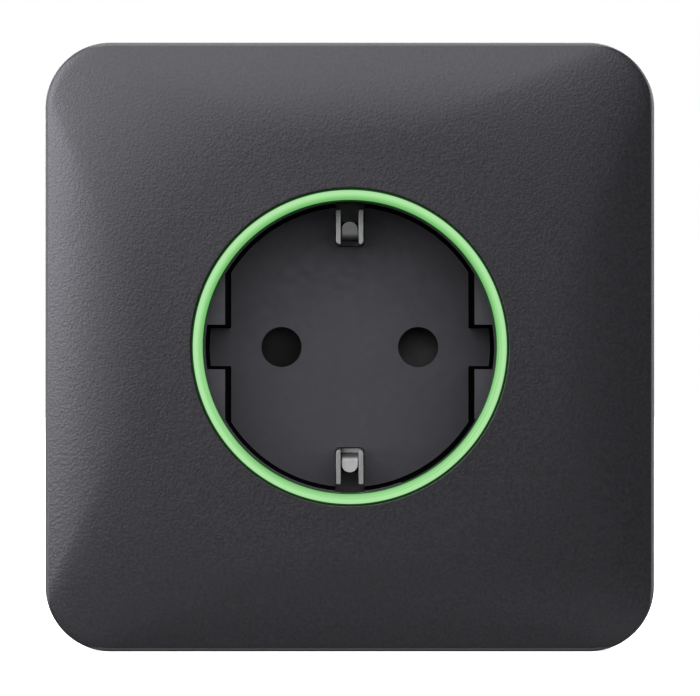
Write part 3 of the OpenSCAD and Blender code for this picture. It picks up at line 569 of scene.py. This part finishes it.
# The recess's walls and front lip are painted a darker black than its floor, its ledges and the pockets of the
# clips, without gloss: painted shade for the shade that falls on them.
POCKET_HALF_WIDTH = 2.2 * MM
POCKET_START = 13 * MM  # from the recess's axis
LIP_RADIUS = 19.4 * MM
LIP_DEPTH = -4 * MM
WALL_SLOPE = 0.6  # a face turned less than this to the front is a wall, and takes the painted shade
well = bpy.data.objects["socket-well-body"].data
well.materials.append(WALL_PAINTED_SHADE)
for face in well.polygons:
    spot = face.center
    in_pocket = abs(spot.x) < POCKET_HALF_WIDTH and abs(spot.z) > POCKET_START
    is_lip = math.hypot(spot.x, spot.z) > LIP_RADIUS and spot.y < LIP_DEPTH
    if is_lip or (abs(face.normal.y) < WALL_SLOPE and not in_pocket):
        face.material_index = 1


# ---------------------------------------------------------------- studio

FLOOR_Z = plate_low.z
TABLE_RADIUS = 1.6

scene = bpy.context.scene
scene.view_settings.view_transform = "Standard"
scene.view_settings.look = "None"


def studio_floor():
    """A pale light table that the part stands on. It looks white, and throws little light up at the part."""
    made, tree, shader, place = start("pale_table")
    mottle = noise(tree, place, 60 * MM)
    wire(
        tree,
        shader,
        Base_Color=blend(tree, mottle, rgb((0.86, 0.86, 0.86)), rgb((0.9, 0.9, 0.9))),
        Roughness=0.8,
        Emission_Color=rgb((1, 1, 1)),
        Emission_Strength=0.8,
    )
    radius = add(tree, "ShaderNodeVectorMath", {"operation": "LENGTH"}, i0=place).outputs["Value"]
    bounce = remap(tree, radius, 0.2, 0.04, 45 * MM, 80 * MM)
    dim = add(tree, "ShaderNodeBsdfDiffuse", Color=blend(tree, bounce, rgb((0, 0, 0)), rgb((1, 1, 1))))
    path = tree.nodes.new("ShaderNodeLightPath").outputs["Is Camera Ray"]
    mixed = add(tree, "ShaderNodeMixShader", i0=path, i1=dim.outputs[0], i2=shader.outputs[0])
    tree.links.new(mixed.outputs[0], tree.nodes["Material Output"].inputs["Surface"])
    middle = (0, 0, FLOOR_Z)
    bpy.ops.mesh.primitive_circle_add(vertices=96, radius=TABLE_RADIUS, fill_type="NGON", location=middle)
    table = bpy.context.object
    table.name = "studio_table"
    table.data.materials.append(made)


def studio_world():
    """White to the eye. Its light comes mostly from behind the part, and the front is dim but for the softbox."""
    world = bpy.data.worlds.new("studio")
    scene.world = world
    world.use_nodes = True
    tree = world.node_tree
    tree.nodes.clear()
    way = tree.nodes.new("ShaderNodeTexCoord").outputs["Generated"]
    split = add(tree, "ShaderNodeSeparateXYZ", Vector=way).outputs
    strength = remap(tree, split[1], 0.02, 1.0, -0.1, 0.4)
    light = add(tree, "ShaderNodeBackground", Color=rgb((1, 1, 1)), Strength=strength)
    seen = add(tree, "ShaderNodeBackground", Color=rgb((1, 1, 1)), Strength=1.0)
    path = tree.nodes.new("ShaderNodeLightPath").outputs["Is Camera Ray"]
    mixed = add(tree, "ShaderNodeMixShader", i0=path, i1=light.outputs[0], i2=seen.outputs[0])
    add(tree, "ShaderNodeOutputWorld", Surface=mixed.outputs[0])


def softbox(name, place, width, height, power, roll=0.0):
    """A rectangular softbox at a place, facing the middle of the part and rolled about that direction."""
    lamp = bpy.data.lights.new(name, "AREA")
    lamp.shape = "RECTANGLE"
    lamp.size = width
    lamp.size_y = height
    lamp.energy = power
    made = bpy.data.objects.new(name, lamp)
    scene.collection.objects.link(made)
    made.location = place
    made.rotation_mode = "QUATERNION"
    facing = (-Vector(place)).to_track_quat("-Z", "Y")
    made.rotation_quaternion = facing @ Quaternion((0, 0, 1), math.radians(roll))
    made.visible_camera = False
    return made


studio_floor()
studio_world()
key = softbox("key", (-0.53, -0.77, 0.57), 1.66, 1.7, 20.0, 45)
strip = softbox("left_strip", (-0.62, -0.95, -0.10), 0.34, 1.7, 9.5)
softbox("rim_right", (0.95, -0.20, 0.30), 0.5, 1.0, 7.0)
softbox("rim_left", (-0.95, -0.10, 0.30), 0.5, 1.0, 3.0)
softbox("rim_top", (0.0, -0.10, 0.95), 1.0, 0.5, 3.0)
softbox("rear_key", (0.60, 0.95, 0.75), 1.0, 1.0, 16.0)
softbox("rear_fill", (-0.80, 0.90, 0.25), 0.6, 1.0, 7.0)

# The recess has a softbox of its own, straight in front of it, and the lights from the left pass it by.
fill = softbox("recess_fill", (0, -0.9, 0), 1.9, 1.9, 33.0)
receivers = bpy.data.collections.new("recess_receivers")
fill.light_linking.receiver_collection = receivers
passed_by = bpy.data.collections.new("key_passed_by")
for lamp in (key, strip):
    lamp.light_linking.receiver_collection = passed_by
for name in ("socket-well-body", "contact_carrier", "shutter"):
    receivers.objects.link(bpy.data.objects[name])
    passed_by.objects.link(bpy.data.objects[name])

low_fill = softbox("tongue_fill", (0, -0.75, -0.32), 0.6, 0.5, 6.0)
tongues = bpy.data.collections.new("tongue_receivers")
low_fill.light_linking.receiver_collection = tongues
for name in ("earth-tongue-upper-body", "earth-tongue-lower-body"):
    tongues.objects.link(bpy.data.objects[name])
for entry in passed_by.collection_objects:
    entry.light_linking.link_state = "EXCLUDE"

# ---------------------------------------------------------------- camera

CAMERA_DISTANCE = 0.470  # from the front face
CAMERA_LENS = 180.2
CAMERA_AIM = (0.00003, -0.00013)  # beside and below the middle of the plate

camera_data = bpy.data.cameras.new("camera")
camera_data.sensor_width = 36.0
camera_data.lens = CAMERA_LENS
camera = bpy.data.objects.new("camera", camera_data)
scene.collection.objects.link(camera)
camera.location = (CAMERA_AIM[0], plate_low.y - CAMERA_DISTANCE, CAMERA_AIM[1])
camera.rotation_euler = (math.radians(90), 0, 0)
scene.camera = camera
